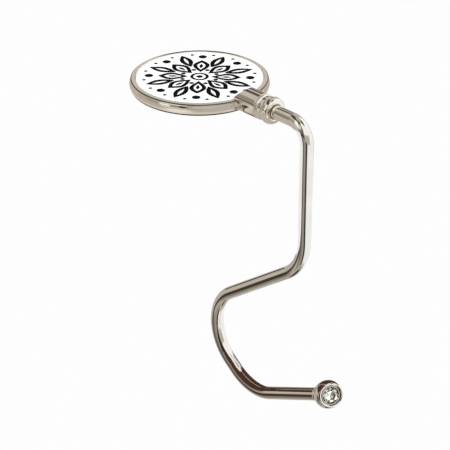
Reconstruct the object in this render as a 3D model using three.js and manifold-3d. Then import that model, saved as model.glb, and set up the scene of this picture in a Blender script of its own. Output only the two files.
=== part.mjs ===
// A bag hanger: a round rest that lies at a table's edge, and a wire hook that swivels in the rest's neck.
// Lengths are millimetres. Z is up and X runs out along the neck, past the edge of the table.
// The origin is the middle of the grip pad's underside, the face that lies on the table.
import * as THREE from 'three';
import { mergeVertices } from 'three/addons/utils/BufferGeometryUtils.js';
import Module from 'manifold-3d';

const manifold = await Module();
manifold.setup();

// Rest: a cast tray with a picture face on top and a grip pad underneath
const discRadius = 20;
const discHeight = 3.6;
const sideSwell = 0.4;
const rimWidth = 1.4;
const rimRound = 0.35;
const footBevel = 0.3;
const faceRecessDepth = 1.3;
const footWidth = 2.6;
const padRecessDepth = 0.8;
const padProud = 1.2;

// Layers that lie in the two recesses
const filmThickness = 0.15;
const filmInset = 0.4;
const insertThickness = 0.5;
const domeEdgeHeight = 0.4;
const domeCrown = 0.45;
const domeShoulder = 1.1;
const layerGap = 0.1;
const padGap = 0.15;
const padGroovePitch = 4.2;
const padGrooveWidth = 1.2;
const padGrooveDepth = 0.35;
const padCoreRadius = 3.2;
const padEdgeRound = 0.3;

// Neck: the tubular boss that is cast with the tray
const neckDrop = 0.5;
const bossRadius = 3.75;
const bossLength = 7;
const bossRootDepth = 2.1;
const bossRootRound = 1;
const bossEndBevel = 0.25;
const bossLeanShare = 0.8;
const boreRadius = 2.95;
const boreEndGap = 0.3;
const cutOverrun = 0.3;

// Collar: a bead ring, a pressed sleeve and a rounded nose, stacked on the neck
const pressGap = 0.05;
const ringLength = 1;
const ringRadius = 3.8;
const grooveDepth = 0.4;
const sleeveRadius = 3.5;
const sleeveBandLength = 1.45;
const sleeveBevel = 0.3;
const sleeveBore = 2.5;
const sleeveInsertion = 3.55;
const sleeveFrontLength = 1.75;
const noseLength = 2.65;
const noseRadius = 3.95;
const noseLipRadius = 3.25;
const noseWall = 0.5;
const noseRearRound = 1.1;
const mouthGap = 0.25;

// Bearing inside the neck
const bushWall = 0.35;
const bushFlangeThickness = 0.35;
const bushFlangeRadius = 2.85;
const swivelGap = 0.1;
const washerThickness = 0.3;
const washerRadius = 2.8;
const clipThickness = 0.5;
const clipRadius = 2.7;
const clipGrooveDepth = 0.45;
const clipGap = 0.1;
const clipMouthAngle = THREE.MathUtils.degToRad(80);
const wireEndLength = 0.65;

// Hook: one bent wire, given as a bending sheet of straights, radii and headings below the horizontal
const wireRadius = 2;
const exitLength = 6.75;
const exitBendRadius = 5.8;
const dropLength = 30.3;
const kneeBendRadius = 15.5;
const slopeAngle = THREE.MathUtils.degToRad(35.2);
const slopeLength = 29.8;
const loopBendRadius = 14.6;
const returnAngle = THREE.MathUtils.degToRad(36.2);
const returnLength = 3.75;
const tipBendRadius = 14.7;
const tipAngle = THREE.MathUtils.degToRad(25);
const tipLength = 27.1;

// Ball end, and the cut stone that is set into it
const ballRadius = 4.3;
const shankRadius = 2.4;
const shankLength = 0.45;
const shankFlare = 0.6;
const solderGap = 0.15;
const socketWall = 0.9;
const seatTilt = THREE.MathUtils.degToRad(24);
const seatRimRadius = 3.4;
const seatDishDepth = 0.6;
const settingRadius = 2.8;
const settingWall = 0.3;
const settingFloor = 0.3;
const settingFootRadius = 0.8;
const settingLipHeight = 0.4;
const settingGap = 0.2;
const stoneGap = 0.25;
const stoneRadius = 2.3;
const stoneDepth = 1.85;
const stoneGirdle = 0.15;
const stoneCrown = 0.7;
const stoneTableShare = 0.55;

// How finely round forms are divided
const discSides = 56;
const neckSides = 28;
const wireSides = 18;
const ballSides = 28;
const stoneSides = 16;
const bendStep = THREE.MathUtils.degToRad(9);
const edgeSteps = 3;
const beadSteps = 6;
const ballSteps = 14;

// Places that follow from the sizes above
const neckAxisHeight = padProud + discHeight - neckDrop;
const faceFloor = discHeight - faceRecessDepth;
const rimInnerRadius = discRadius - rimWidth;
const padRecessRadius = discRadius - footWidth;
const bossRoot = discRadius - bossRootDepth;
const bossReach = discRadius + bossLength;
const ringStart = bossReach;
const sleeveStart = ringStart + ringLength;
const noseStart = sleeveStart + sleeveBandLength;
const noseEnd = noseStart + noseLength;
const sleeveInnerEnd = bossReach - sleeveInsertion;
const sleeveFrontEnd = noseStart + sleeveFrontLength;
const spigotRadius = boreRadius - pressGap;
const clipEnd = sleeveInnerEnd - washerThickness - clipGap;
const clipStart = clipEnd - clipThickness;
const wireStart = clipStart - clipGap - wireEndLength;
const boreFloor = wireStart - boreEndGap;
const coneShare = stoneDepth / stoneRadius;
const coneDrop = stoneGap * Math.hypot(1, coneShare);
const settingBottom = -coneDrop - settingFloor;
const seatBottom = settingBottom - settingGap;

const nickelLook = { color: 0xd9d2c6, roughness: 0.12, metalness: 1 };
const looks = {
  nickel: nickelLook,
  film: { color: 0xe8e4d8, roughness: 0.6, metalness: 0 },
  print: { color: 0xf7f7f5, roughness: 0.35, metalness: 0 },
  resin: { color: 0xffffff, roughness: 0.04, metalness: 0, transparent: true, opacity: 0.25 },
  rubber: { color: 0x1b1b1c, roughness: 0.85, metalness: 0 },
  nylon: { color: 0xeeeae0, roughness: 0.5, metalness: 0 },
  steel: { color: 0x9b9b9c, roughness: 0.35, metalness: 1 },
  crystal: { color: 0xf2f5f7, roughness: 0.02, metalness: 0, transparent: true, opacity: 0.6 },
};

// Points of an arc, as radius and height pairs, from one angle to another
function arc(centreRadius, centreHeight, radius, fromDegrees, toDegrees, steps) {
  const points = [];
  for (let step = 0; step <= steps; step += 1) {
    const angle = THREE.MathUtils.degToRad(fromDegrees + ((toDegrees - fromDegrees) * step) / steps);
    const across = centreRadius + radius * Math.cos(angle);
    const up = centreHeight + radius * Math.sin(angle);
    points.push([across, up]);
  }
  return points;
}

// A profile of radius and height pairs, turned about Z; it runs up the outside
function turned(profile, sides) {
  const outline = profile.map(([radius, height]) => new THREE.Vector2(radius, height));
  return new THREE.LatheGeometry(outline, sides).rotateX(Math.PI / 2);
}

// The same, turned about X, so that a height in the profile is a distance along the neck
function turnedAlongNeck(profile, sides) {
  return turned(profile, sides).rotateY(Math.PI / 2);
}

function disc(radius, bottom, top, sides) {
  return turned([[0, bottom], [radius, bottom], [radius, top], [0, top]], sides);
}

// A closed solid that can be joined and cut
function solidOf(geometry) {
  const bare = geometry.clone();
  bare.deleteAttribute('normal');
  bare.deleteAttribute('uv');
  const merged = mergeVertices(bare);
  const vertProperties = new Float32Array(merged.getAttribute('position').array);
  const triVerts = new Uint32Array(merged.index.array);
  return new manifold.Manifold(new manifold.Mesh({ numProp: 3, vertProperties, triVerts }));
}

function geometryOf(solid) {
  const mesh = solid.getMesh();
  const geometry = new THREE.BufferGeometry();
  geometry.setAttribute('position', new THREE.BufferAttribute(mesh.vertProperties, 3));
  geometry.setIndex(new THREE.BufferAttribute(mesh.triVerts, 1));
  geometry.computeVertexNormals();
  return geometry;
}

function piece(name, geometry, look) {
  const mesh = new THREE.Mesh(geometry, new THREE.MeshStandardMaterial(look));
  mesh.name = name;
  return mesh;
}

// Tray: turned body with both recesses, joined to the boss and bored for the collar's sleeve
function trayBody() {
  const side = [];
  const sideSteps = beadSteps;
  const sideHeight = discHeight - rimRound - footBevel;
  for (let step = 0; step < sideSteps; step += 1) {
    const share = step / sideSteps;
    side.push([discRadius + sideSwell * Math.sin(Math.PI * share), footBevel + sideHeight * share]);
  }
  return turned([
    [0, padRecessDepth],
    [padRecessRadius, padRecessDepth],
    [padRecessRadius, 0],
    [discRadius - footBevel, 0],
    ...side,
    ...arc(discRadius - rimRound, discHeight - rimRound, rimRound, 0, 90, edgeSteps),
    ...arc(rimInnerRadius + rimRound, discHeight - rimRound, rimRound, 90, 180, edgeSteps),
    [rimInnerRadius, faceFloor],
    [0, faceFloor],
  ], discSides);
}

// The boss's inner end leans outward from the rim, so that the face's layers drop in past it
function bossDish() {
  const wallRadius = rimInnerRadius + layerGap;
  const reachUp = bossRadius + cutOverrun;
  return turned([
    [0, faceFloor - cutOverrun],
    [wallRadius, faceFloor - cutOverrun],
    [wallRadius, discHeight],
    [wallRadius + bossLeanShare * reachUp, discHeight + reachUp],
    [0, discHeight + reachUp],
  ], discSides);
}

function trayGeometry() {
  const axisHeight = discHeight - neckDrop;
  const boss = turnedAlongNeck([
    [0, bossRoot],
    ...arc(bossRadius - bossRootRound, bossRoot + bossRootRound, bossRootRound, -90, 0, edgeSteps),
    [bossRadius, bossReach - bossEndBevel],
    [bossRadius - bossEndBevel, bossReach],
    [0, bossReach],
  ], neckSides).translate(0, 0, axisHeight);
  const bore = turnedAlongNeck([
    [0, boreFloor],
    [boreRadius, boreFloor],
    [boreRadius, bossReach + cutOverrun],
    [0, bossReach + cutOverrun],
  ], neckSides).translate(0, 0, axisHeight);
  const leaningBoss = solidOf(boss).subtract(solidOf(bossDish()));
  return geometryOf(solidOf(trayBody()).add(leaningBoss).subtract(solidOf(bore)));
}

// Clear resin, poured to a low dome over the printed insert
function domeGeometry(bottom) {
  const radius = rimInnerRadius - layerGap;
  const edge = bottom + domeEdgeHeight;
  const crown = [];
  for (let step = 0; step <= beadSteps; step += 1) {
    const share = step / beadSteps;
    crown.push([radius - domeShoulder * share, edge + domeCrown * Math.sin((Math.PI / 2) * share)]);
  }
  return turned([[0, bottom], [radius, bottom], ...crown, [0, edge + domeCrown]], discSides);
}

// Rubber pad with ring grooves that grip the table; its core and the ribs between are its foot
function padGeometry(top) {
  const radius = padRecessRadius - padGap;
  const foot = [[0, 0]];
  for (let inner = padCoreRadius; inner + padGroovePitch < radius; inner += padGroovePitch) {
    const outer = inner + padGrooveWidth;
    foot.push([inner, 0], [inner, padGrooveDepth], [outer, padGrooveDepth], [outer, 0]);
  }
  const edge = arc(radius - padEdgeRound, padEdgeRound, padEdgeRound, -90, 0, edgeSteps);
  return turned([...foot, ...edge, [radius, top], [0, top]], discSides);
}

function restGroup() {
  const group = new THREE.Group();
  const face = new THREE.Group();
  const filmTop = faceFloor + filmThickness;
  const insertTop = filmTop + insertThickness;
  const layerRadius = rimInnerRadius - layerGap;
  const padTop = padProud + padRecessDepth - filmThickness;
  face.position.z = padProud;
  face.add(
    piece('disc_tray', trayGeometry(), looks.nickel),
    piece('insert_film', disc(layerRadius - filmInset, faceFloor, filmTop, discSides), looks.film),
    piece('printed_insert', disc(layerRadius, filmTop, insertTop, discSides), looks.print),
    piece('clear_dome', domeGeometry(insertTop), looks.resin),
  );
  group.add(
    face,
    piece('pad_film', disc(padRecessRadius - filmInset, padTop, padTop + filmThickness, discSides), looks.film),
    piece('grip_pad', padGeometry(padTop), looks.rubber),
  );
  return group;
}

// Bead ring between the boss and the sleeve, bored to pass the sleeve's spigot
function ringGeometry() {
  const valley = ringRadius - grooveDepth;
  const bead = [];
  for (let step = 0; step <= beadSteps; step += 1) {
    const share = step / beadSteps;
    bead.push([valley + grooveDepth * Math.sin(Math.PI * share), ringStart + ringLength * share]);
  }
  return turnedAlongNeck([
    [boreRadius, ringStart],
    ...bead,
    [boreRadius, sleeveStart],
    [boreRadius, ringStart],
  ], neckSides);
}

// Sleeve: its spigot is pressed through the ring into the boss, and the nose is pressed on its front
function sleeveGeometry() {
  return turnedAlongNeck([
    [sleeveBore, sleeveInnerEnd],
    [spigotRadius, sleeveInnerEnd],
    [spigotRadius, sleeveStart],
    [sleeveRadius - sleeveBevel, sleeveStart],
    [sleeveRadius, sleeveStart + sleeveBevel],
    [sleeveRadius, noseStart - sleeveBevel],
    [sleeveRadius - grooveDepth, noseStart],
    [spigotRadius, noseStart],
    [spigotRadius, sleeveFrontEnd],
    [sleeveBore, sleeveFrontEnd],
    [sleeveBore, sleeveInnerEnd],
  ], neckSides);
}

// Nose: a rounded bead that closes the collar, with a mouth just wider than the wire
function noseGeometry() {
  const rear = [];
  const rearRadius = sleeveRadius - grooveDepth;
  for (let step = 0; step <= edgeSteps; step += 1) {
    const share = step / edgeSteps;
    const across = rearRadius + (noseRadius - rearRadius) * Math.sin((Math.PI / 2) * share);
    rear.push([across, noseStart + noseRearRound * share]);
  }
  const lip = [];
  const lipLength = noseLength - noseRearRound;
  for (let step = 1; step <= edgeSteps + 2; step += 1) {
    const angle = ((Math.PI / 2) * step) / (edgeSteps + 2);
    const across = noseLipRadius + (noseRadius - noseLipRadius) * Math.cos(angle);
    lip.push([across, noseStart + noseRearRound + lipLength * Math.sin(angle)]);
  }
  const mouthRadius = wireRadius + mouthGap;
  return turnedAlongNeck([
    [boreRadius, noseStart],
    ...rear,
    ...lip,
    [mouthRadius, noseEnd],
    [mouthRadius, noseEnd - noseWall],
    [boreRadius, noseEnd - noseWall],
    [boreRadius, noseStart],
  ], neckSides);
}

// Nylon bush that lines the sleeve, with a flange between the sleeve's front end and the nose
function bushGeometry() {
  const innerRadius = wireRadius + swivelGap;
  const outerRadius = innerRadius + bushWall;
  const flangeEnd = sleeveFrontEnd + bushFlangeThickness;
  return turnedAlongNeck([
    [innerRadius, sleeveInnerEnd],
    [outerRadius, sleeveInnerEnd],
    [outerRadius, sleeveFrontEnd],
    [bushFlangeRadius, sleeveFrontEnd],
    [bushFlangeRadius, flangeEnd],
    [innerRadius, flangeEnd],
    [innerRadius, sleeveInnerEnd],
  ], neckSides);
}

function washerGeometry() {
  const innerRadius = wireRadius + swivelGap;
  const start = sleeveInnerEnd - washerThickness;
  return turnedAlongNeck([
    [innerRadius, start],
    [washerRadius, start],
    [washerRadius, sleeveInnerEnd],
    [innerRadius, sleeveInnerEnd],
    [innerRadius, start],
  ], neckSides);
}

function neckGroup() {
  const group = new THREE.Group();
  group.position.z = neckAxisHeight;
  group.add(
    piece('collar_ring', ringGeometry(), looks.nickel),
    piece('collar_sleeve', sleeveGeometry(), looks.nickel),
    piece('collar_nose', noseGeometry(), looks.nickel),
    piece('swivel_bush', bushGeometry(), looks.nylon),
    piece('thrust_washer', washerGeometry(), looks.steel),
  );
  return group;
}

// The wire's centre line; its stations stand at the ends of the straights and evenly round the bends
class BentLine extends THREE.Curve {
  constructor() {
    super();
    this.points = [new THREE.Vector3()];
    this.headings = [0];
  }

  straight(length) {
    const heading = this.headings.at(-1);
    const along = new THREE.Vector3(Math.cos(heading), 0, Math.sin(heading));
    this.points.push(this.points.at(-1).clone().addScaledVector(along, length));
    this.headings.push(heading);
    return this;
  }

  bend(radius, toHeading) {
    const fromHeading = this.headings.at(-1);
    const side = Math.sign(toHeading - fromHeading);
    const toCentre = new THREE.Vector3(-Math.sin(fromHeading), 0, Math.cos(fromHeading));
    const centre = this.points.at(-1).clone().addScaledVector(toCentre, side * radius);
    const steps = Math.ceil(Math.abs(toHeading - fromHeading) / bendStep);
    for (let step = 1; step <= steps; step += 1) {
      const heading = fromHeading + ((toHeading - fromHeading) * step) / steps;
      const fromCentre = new THREE.Vector3(Math.sin(heading), 0, -Math.cos(heading));
      this.points.push(centre.clone().addScaledVector(fromCentre, side * radius));
      this.headings.push(heading);
    }
    return this;
  }

  get steps() {
    return this.points.length - 1;
  }

  getPointAt(share, target = new THREE.Vector3()) {
    return target.copy(this.points[Math.round(share * this.steps)]);
  }

  getTangentAt(share, target = new THREE.Vector3()) {
    const heading = this.headings[Math.round(share * this.steps)];
    return target.set(Math.cos(heading), 0, Math.sin(heading));
  }
}

const quarterTurn = Math.PI / 2;
const ballToSocketFloor = socketWall - seatBottom;
const tipToBall = ballToSocketFloor + solderGap;
const wireLine = new BentLine()
  .straight(noseEnd + exitLength - wireStart)
  .bend(exitBendRadius, -quarterTurn)
  .straight(dropLength)
  .bend(kneeBendRadius, slopeAngle - 2 * quarterTurn)
  .straight(slopeLength)
  .bend(loopBendRadius, -returnAngle)
  .straight(returnLength)
  .bend(tipBendRadius, tipAngle)
  .straight(tipLength - tipToBall);

function wireGeometry() {
  const section = [];
  for (let side = 0; side < wireSides; side += 1) {
    const angle = (2 * Math.PI * side) / wireSides;
    section.push(new THREE.Vector2(wireRadius * Math.cos(angle), wireRadius * Math.sin(angle)));
  }
  const wire = new THREE.ExtrudeGeometry(new THREE.Shape(section), {
    steps: wireLine.steps,
    extrudePath: wireLine,
    bevelEnabled: false,
  });
  const grooveFloor = wireRadius - clipGrooveDepth;
  const grooveStart = wireEndLength;
  const grooveEnd = grooveStart + clipThickness + 2 * clipGap;
  const groove = turnedAlongNeck([
    [grooveFloor, grooveStart],
    [wireRadius + cutOverrun, grooveStart],
    [wireRadius + cutOverrun, grooveEnd],
    [grooveFloor, grooveEnd],
    [grooveFloor, grooveStart],
  ], neckSides);
  return geometryOf(solidOf(wire).subtract(solidOf(groove)));
}

// Open ring that snaps into the wire's groove and keeps it in the neck
function clipGeometry() {
  const innerRadius = wireRadius - clipGrooveDepth + clipGap;
  const halfMouth = clipMouthAngle / 2;
  const outline = new THREE.Shape();
  outline.absarc(0, 0, clipRadius, halfMouth, 2 * Math.PI - halfMouth, false);
  outline.absarc(0, 0, innerRadius, 2 * Math.PI - halfMouth, halfMouth, true);
  outline.closePath();
  const clip = new THREE.ExtrudeGeometry(outline, {
    depth: clipThickness,
    bevelEnabled: false,
    curveSegments: neckSides,
  });
  return clip.rotateY(Math.PI / 2);
}

// Ball with a flared shank, drilled for the wire and bored on a slant for the stone's setting
function ballGeometry() {
  const shankEnd = -ballRadius - shankLength;
  const flareAngle = Math.asin((shankRadius + shankFlare) / ballRadius);
  const ballFrom = THREE.MathUtils.radToDeg(flareAngle) - 90;
  const ball = turned([
    [0, shankEnd],
    [shankRadius, shankEnd],
    [shankRadius, -ballRadius],
    ...arc(0, 0, ballRadius, ballFrom, 90, ballSteps),
  ].map(([radius, height]) => [Math.max(radius, 0), height]), ballSides);
  const socket = disc(wireRadius + solderGap, shankEnd - cutOverrun, -ballToSocketFloor, ballSides);
  const seatRadius = settingRadius + settingGap;
  const seatFootRadius = settingFootRadius + settingGap;
  const rimHeight = Math.sqrt(ballRadius ** 2 - seatRimRadius ** 2);
  const seat = turned([
    [0, seatBottom],
    [seatFootRadius, seatBottom],
    [seatRadius, seatBottom + coneShare * (seatRadius - seatFootRadius)],
    [seatRadius, rimHeight - seatDishDepth],
    [seatRimRadius, rimHeight],
    [seatRimRadius, ballRadius + cutOverrun],
    [0, ballRadius + cutOverrun],
  ], ballSides).rotateX(seatTilt);
  return geometryOf(solidOf(ball).subtract(solidOf(socket)).subtract(solidOf(seat)));
}

// Metal cup that holds the stone; its inside follows the stone's cone at a small gap
function settingGeometry() {
  const innerRadius = settingRadius - settingWall;
  const top = stoneDepth + settingLipHeight;
  return turned([
    [0, settingBottom],
    [settingFootRadius, settingBottom],
    [settingRadius, settingBottom + coneShare * (settingRadius - settingFootRadius)],
    [settingRadius, top - settingWall / 2],
    [settingRadius - settingWall / 2, top],
    [innerRadius, top],
    [innerRadius, innerRadius * coneShare - coneDrop],
    [0, -coneDrop],
  ], ballSides);
}

// Brilliant-cut stone: a cone below the girdle, a low crown and a flat table above
function stoneGeometry() {
  const crownStart = stoneDepth + stoneGirdle;
  const table = crownStart + stoneCrown;
  return turned([
    [0, 0],
    [stoneRadius, stoneDepth],
    [stoneRadius, crownStart],
    [stoneRadius * stoneTableShare, table],
    [0, table],
  ], stoneSides);
}

function ballGroup() {
  const group = new THREE.Group();
  const along = new THREE.Vector3(Math.cos(tipAngle), 0, Math.sin(tipAngle));
  group.position.copy(wireLine.points.at(-1)).addScaledVector(along, tipToBall);
  group.rotation.y = quarterTurn - tipAngle;
  const setting = new THREE.Group();
  setting.rotation.x = seatTilt;
  setting.add(
    piece('stone_setting', settingGeometry(), looks.nickel),
    piece('crystal_stone', stoneGeometry(), looks.crystal),
  );
  group.add(piece('ball_end', ballGeometry(), looks.nickel), setting);
  return group;
}

function hookGroup() {
  const group = new THREE.Group();
  group.position.set(wireStart, 0, neckAxisHeight);
  const clip = piece('retaining_clip', clipGeometry(), looks.steel);
  clip.position.x = clipStart - wireStart;
  group.add(piece('hook_wire', wireGeometry(), looks.nickel), clip, ballGroup());
  return group;
}

const bagHanger = new THREE.Group();
bagHanger.add(restGroup(), neckGroup(), hookGroup());

export default bagHanger;
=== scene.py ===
"""Looks for a bag hanger: a round rest for a table's edge, and a wire hook that swivels in its neck."""

import math
from typing import NamedTuple

import bmesh
import bpy
from bpy.props import FloatProperty, FloatVectorProperty, PointerProperty
from mathutils import Matrix, Vector


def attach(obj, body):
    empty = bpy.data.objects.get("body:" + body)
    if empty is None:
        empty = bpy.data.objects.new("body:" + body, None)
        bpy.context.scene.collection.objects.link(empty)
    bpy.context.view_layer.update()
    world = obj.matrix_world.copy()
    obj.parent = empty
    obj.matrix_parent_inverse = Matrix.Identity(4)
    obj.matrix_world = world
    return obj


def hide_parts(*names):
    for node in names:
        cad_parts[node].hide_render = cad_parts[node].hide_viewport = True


bl_info = {
    "name": "Bag Hanger",
    "version": (1, 0, 0),
    "blender": (4, 5, 0),
    "location": "View3D > Sidebar > Bag Hanger",
    "description": "Models a swivelling table hook for a handbag",
    "category": "Add Mesh",
}

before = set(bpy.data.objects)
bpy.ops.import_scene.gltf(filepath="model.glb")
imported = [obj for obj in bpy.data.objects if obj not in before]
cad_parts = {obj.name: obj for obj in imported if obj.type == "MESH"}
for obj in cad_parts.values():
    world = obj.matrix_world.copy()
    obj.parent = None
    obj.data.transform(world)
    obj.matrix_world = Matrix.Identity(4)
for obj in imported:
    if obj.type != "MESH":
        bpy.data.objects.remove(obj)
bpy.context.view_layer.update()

MM = 0.001
WELD = 0.0005 * MM
GUARD = 0.04 * MM
ORIGIN = Vector((0, 0, 0))
UP = Vector((0, 0, 1))
ACROSS = Vector((0, 1, 0))
FULL_TURN = 2 * math.pi
QUARTER_TURN = math.pi / 2
SMALL_ROUND = 0.1 * MM
TINY_ROUND = 0.05 * MM
# Soft edges, each point as its steps aside and back from the corner in millimetres
MOUTH_EDGE = ((0.15, 0), (0.04, 0.05), (0, 0.15))
SHANK_EDGE = ((0.12, 0), (0.03, 0.04), (0, 0.14))


def length(name, description, millimetres):
    """A size of the object, kept in metres"""
    return FloatProperty(
        name=name, description=description, default=millimetres * MM, unit="LENGTH", precision=5
    )


def slant(name, description, degrees):
    """An angle of the object"""
    return FloatProperty(
        name=name, description=description, default=math.radians(degrees), subtype="ANGLE"
    )


def tint(name, description, red, green, blue):
    """A colour of a finish"""
    return FloatVectorProperty(
        name=name, description=description, default=(red, green, blue), min=0, max=1, size=3, subtype="COLOR"
    )


class RestSizes(bpy.types.PropertyGroup):
    """Sizes of the tray, its neck, its face and its pad"""

    pad_proud: length("Pad proud", "How far the pad stands below the tray", 1.2)
    disc_radius: length("Disc radius", "Outer radius of the rim's top edge", 20)
    disc_height: length("Disc height", "Height of the tray without its pad", 3.6)
    side_swell: length("Side swell", "How far the side wall bulges past the rim", 0.4)
    rim_width: length("Rim width", "Width of the flat rim round the face", 1.4)
    rim_round: length("Rim round", "Rounding of the rim's outer edge", 0.35)
    rim_slope: length("Rim slope", "Fall of the rim towards its outer edge", 0.18)
    face_depth: length("Face depth", "Depth of the recess for the face", 1.3)
    foot_width: length("Foot width", "Width of the metal round the pad", 2.6)
    edge_round: length("Edge round", "Rounding of the inner edges of the rim and the foot", 0.12)
    foot_inset: length("Foot inset", "How far the foot stands back from the rim", 0.3)
    foot_round: length("Foot round", "Rounding of the foot's outer edge", 0.08)
    wall_start: length("Wall start", "Height of the tray at which its side wall begins to swell", 0.5)
    # A thin dark ring of painted shade along the rim's outer edge
    shade_line_inset: length("Shade line inset", "How far the painted shade line lies inside the disc", 0.12)
    shade_line_width: length("Shade line width", "Width of the painted shade line", 0.32)
    pad_depth: length("Pad depth", "Depth of the recess for the pad", 0.8)
    film: length("Film", "Thickness of each adhesive film", 0.15)
    insert: length("Insert", "Thickness of the printed insert", 0.5)
    dome_edge: length("Dome edge", "Height of the resin at its edge", 0.4)
    dome_crown: length("Dome crown", "Rise of the resin towards its middle", 0.45)
    dome_shoulder: length("Dome shoulder", "Width over which the resin curves up", 1.1)
    layer_gap: length("Layer gap", "Clearance between the layers and the recess wall", 0.1)
    neck_drop: length("Neck drop", "How far the neck's axis lies below the rim", 0.5)
    boss_radius: length("Boss radius", "Radius of the cast neck", 3.75)
    boss_length: length("Boss length", "Length of the neck past the disc", 7)
    boss_lean: FloatProperty(name="Boss lean", description="Slope of the neck's inner end", default=0.8)
    boss_edge: length("Boss edge", "Rounding of the neck's end", 0.22)
    boss_sink: length("Boss sink", "How deep the neck's inner end stands in the side wall", 0.4)
    boss_fillet: length("Boss fillet", "Fillet between the neck and the side wall", 0.4)
    bore_radius: length("Bore radius", "Radius of the bore in the neck", 2.95)
    bore_depth: length("Bore depth", "Depth of the bore in the neck", 5.5)
    pad_gap: length("Pad gap", "Clearance round the pad", 0.15)
    pad_round: length("Pad round", "Rounding of the pad's lower edge", 0.3)
    groove_pitch: length("Groove pitch", "Spacing of the pad's ring grooves", 4.2)
    groove_width: length("Groove width", "Width of each ring groove", 1.2)
    groove_depth: length("Groove depth", "Depth of each ring groove", 0.35)
    core_radius: length("Core radius", "Radius of the pad's flat core", 3.2)


class CollarSizes(bpy.types.PropertyGroup):
    """Sizes of the three turned pieces on the neck"""

    ring_length: length("Ring length", "Length of the bead ring", 1)
    ring_radius: length("Ring radius", "Outer radius of the bead ring", 3.8)
    groove: length("Groove", "Depth of the valleys beside the bead ring", 0.4)
    sleeve_radius: length("Sleeve radius", "Radius of the plain band", 3.5)
    sleeve_length: length("Sleeve length", "Length of the plain band", 1.45)
    sleeve_bore: length("Sleeve bore", "Radius of the sleeve's bore", 2.5)
    sleeve_bevel: length("Sleeve bevel", "Rounding of the plain band's edges", 0.22)
    insertion: length("Insertion", "Length of the spigot inside the neck", 3.55)
    front_length: length("Front length", "Length of the spigot inside the nose", 1.75)
    press_gap: length("Press gap", "Clearance of the spigot in its bores", 0.05)
    nose_length: length("Nose length", "Length of the rounded nose", 2.65)
    nose_radius: length("Nose radius", "Largest radius of the nose", 3.95)
    nose_lip: length("Nose lip", "Radius where the nose's round meets its mouth", 3.25)
    nose_rear: length("Nose rear", "Length of the nose's rear round", 1.1)
    nose_wall: length("Nose wall", "Thickness of the nose round its mouth", 0.5)
    mouth_gap: length("Mouth gap", "Clearance between the mouth and the wire", 0.25)


class HookSizes(bpy.types.PropertyGroup):
    """The bent wire's straights, bend radii and headings"""

    wire_radius: length("Wire radius", "Radius of the wire", 2)
    wire_start: length("Wire start", "Where the wire begins inside the neck", 21.8)
    exit_length: length("Exit length", "Straight wire past the nose", 6.75)
    exit_bend: length("Exit bend", "Radius of the bend below the neck", 5.8)
    drop: length("Drop", "Straight wire past the table's edge", 30.3)
    knee_bend: length("Knee bend", "Radius of the bend under the table", 15.5)
    slope_angle: slant("Slope angle", "Fall of the wire under the table", 35.2)
    slope: length("Slope", "Straight wire back under the table", 29.8)
    loop_bend: length("Loop bend", "Radius of the loop's upper bend", 14.6)
    return_angle: slant("Return angle", "Fall of the loop's short straight", 36.2)
    return_length: length("Return length", "The loop's short straight", 3.75)
    tip_bend: length("Tip bend", "Radius of the loop's lower bend", 14.7)
    tip_angle: slant("Tip angle", "Rise of the tip", 25)
    tip: length("Tip", "Straight wire up to the middle of the ball", 27.1)
    groove_depth: length("Clip groove depth", "Depth of the clip's groove", 0.45)
    groove_start: length("Clip groove start", "Wire left behind the clip's groove", 0.65)
    groove_length: length("Clip groove length", "Length of the clip's groove", 0.7)


class BallSizes(bpy.types.PropertyGroup):
    """Sizes of the ball end and of the stone set in it"""

    ball_radius: length("Ball radius", "Radius of the ball", 4.3)
    shank_radius: length("Shank radius", "Radius of the ball's shank", 2.4)
    shank_length: length("Shank length", "Length of the shank behind the ball", 0.45)
    shank_fillet: length("Shank fillet", "Fillet between the shank and the ball", 0.55)
    shank_sink: length("Shank sink", "How deep the shank reaches into the ball", 1.4)
    socket_wall: length("Socket wall", "Metal between the wire's bore and the seat", 0.9)
    socket_gap: length("Socket gap", "Clearance of the wire in its bore", 0.15)
    seat_tilt: slant("Seat tilt", "Slant of the stone's seat off the wire's line", 24)
    seat_rim: length("Seat rim", "Radius of the seat's rim", 3.4)
    seat_radius: length("Seat radius", "Radius of the seat's bore", 3)
    seat_dish: length("Seat dish", "Depth of the bevel inside the seat's rim", 0.18)
    seat_depth: length("Seat depth", "Depth of the seat below the ball's middle", 0.82)
    cup_radius: length("Cup radius", "Outer radius of the stone's cup", 2.8)
    cup_wall: length("Cup wall", "Wall of the stone's cup", 0.3)
    cup_foot: length("Cup foot", "Radius of the cup's flat bottom", 0.8)
    cup_drop: length("Cup drop", "How far the cup lies below the stone's point", 0.32)
    cup_lip: length("Cup lip", "Height of the cup above the stone's widest point", 0.4)
    stone_radius: length("Stone radius", "Radius of the stone", 2.3)
    stone_depth: length("Stone depth", "Depth of the stone below its girdle", 1.85)
    girdle: length("Girdle", "Height of the stone's girdle", 0.15)
    crown: length("Crown", "Height of the stone above its girdle", 0.7)
    table_radius: length("Stone table", "Radius of the stone's flat top", 1.426)


class Finishes(bpy.types.PropertyGroup):
    """Colours of the finishes"""

    nickel: tint("Nickel", "Bright nickel plate", 0.81, 0.755, 0.665)
    paper: tint("Print ground", "White ground of the printed face", 0.93, 0.93, 0.92)
    ink: tint("Print ink", "Black of the ornament", 0.006, 0.006, 0.007)
    rubber: tint("Rubber", "Grip pad", 0.018, 0.018, 0.02)
    film: tint("Film", "Adhesive film", 0.78, 0.75, 0.68)
    nylon: tint("Nylon", "Swivel bush", 0.82, 0.79, 0.72)
    steel: tint("Steel", "Washer and clip", 0.46, 0.46, 0.47)


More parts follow.
